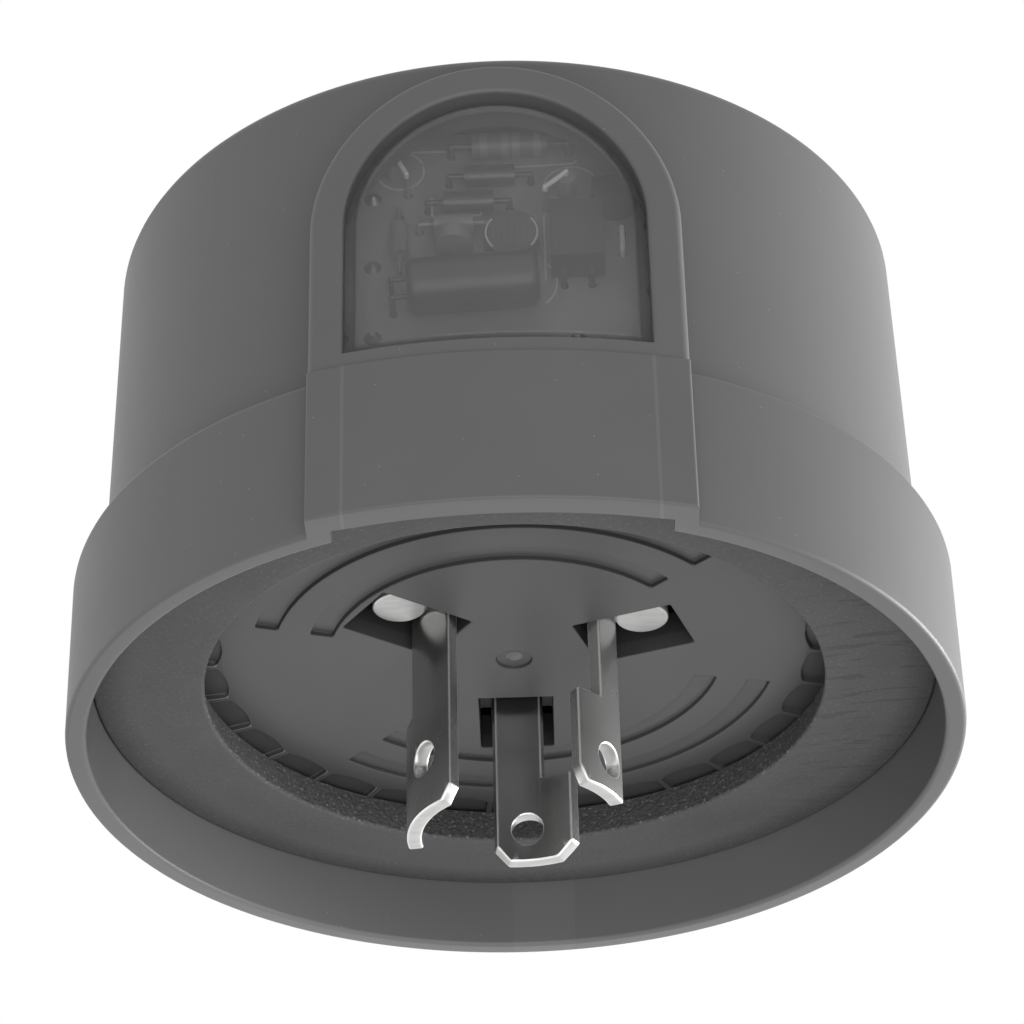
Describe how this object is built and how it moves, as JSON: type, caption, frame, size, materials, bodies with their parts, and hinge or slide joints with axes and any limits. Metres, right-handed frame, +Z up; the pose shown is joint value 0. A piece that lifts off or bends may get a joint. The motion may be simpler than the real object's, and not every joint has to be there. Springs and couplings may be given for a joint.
{
  "type": "photocell switch",
  "caption": "Round plug-in photocell switch for a luminaire: moulded cover with an arched clear window, foam sealing ring and curved twist-lock blades under a base with a ring of pockets.",
  "frame": {"origin": "centre of the gasket's sealing face, on the plug's axis", "axes": "+Z up along the plug's axis into the cover, blades down, window facing -Y"},
  "size_m": [0.084, 0.0856, 0.0613],
  "materials": {
    "cover_plastic": "fine satin moulded grey",
    "lens_plastic": "clear plastic, a little hazed",
    "base_plastic": "satin moulded grey",
    "foam": "closed-cell foam, cut edges",
    "blade_metal": "stamped and tin plated",
    "board_laminate": "glass laminate with solder mask",
    "sensor_face": "resin over a wound track",
    "capacitor_sleeve": "shrink sleeve",
    "chip_resin": "moulded resin",
    "diode_resin": "moulded resin",
    "resistor_coat": "lacquer",
    "disc_coat": "dipped coat",
    "zener_glass": "glass bead",
    "tinned_wire": "tinned wire",
    "relay_case": "sealed case",
    "film_case": "boxed and filled",
    "power_coat": "cement coat",
    "varistor_coat": "dipped coat",
    "white_sleeve": "insulation",
    "black_sleeve": "insulation",
    "red_sleeve": "insulation",
    "solder": "solder"
  },
  "bodies": {
    "root": {"cover": "cover_plastic", "window_lens": "lens_plastic", "base_plate": "base_plastic", "gasket": "foam", "neutral_blade": "blade_metal", "line_blade": "blade_metal", "load_blade": "blade_metal", "circuit_board": "board_laminate", "photo_sensor": "sensor_face", "smoothing_capacitor": "capacitor_sleeve", "opto_coupler": "chip_resin", "rectifier_diodes": "diode_resin", "bias_resistors": "resistor_coat", "delay_capacitor": "disc_coat", "zener_diode": "zener_glass", "jumper_wire": "tinned_wire", "switching_transistor": "chip_resin", "relay": "relay_case", "dropper_capacitor": "film_case", "dropper_resistor": "power_coat", "surge_varistor": "varistor_coat", "neutral_wire": "white_sleeve", "line_wire": "black_sleeve", "load_wire": "red_sleeve", "solder_joints": "solder"}
  },
  "joints": []
}
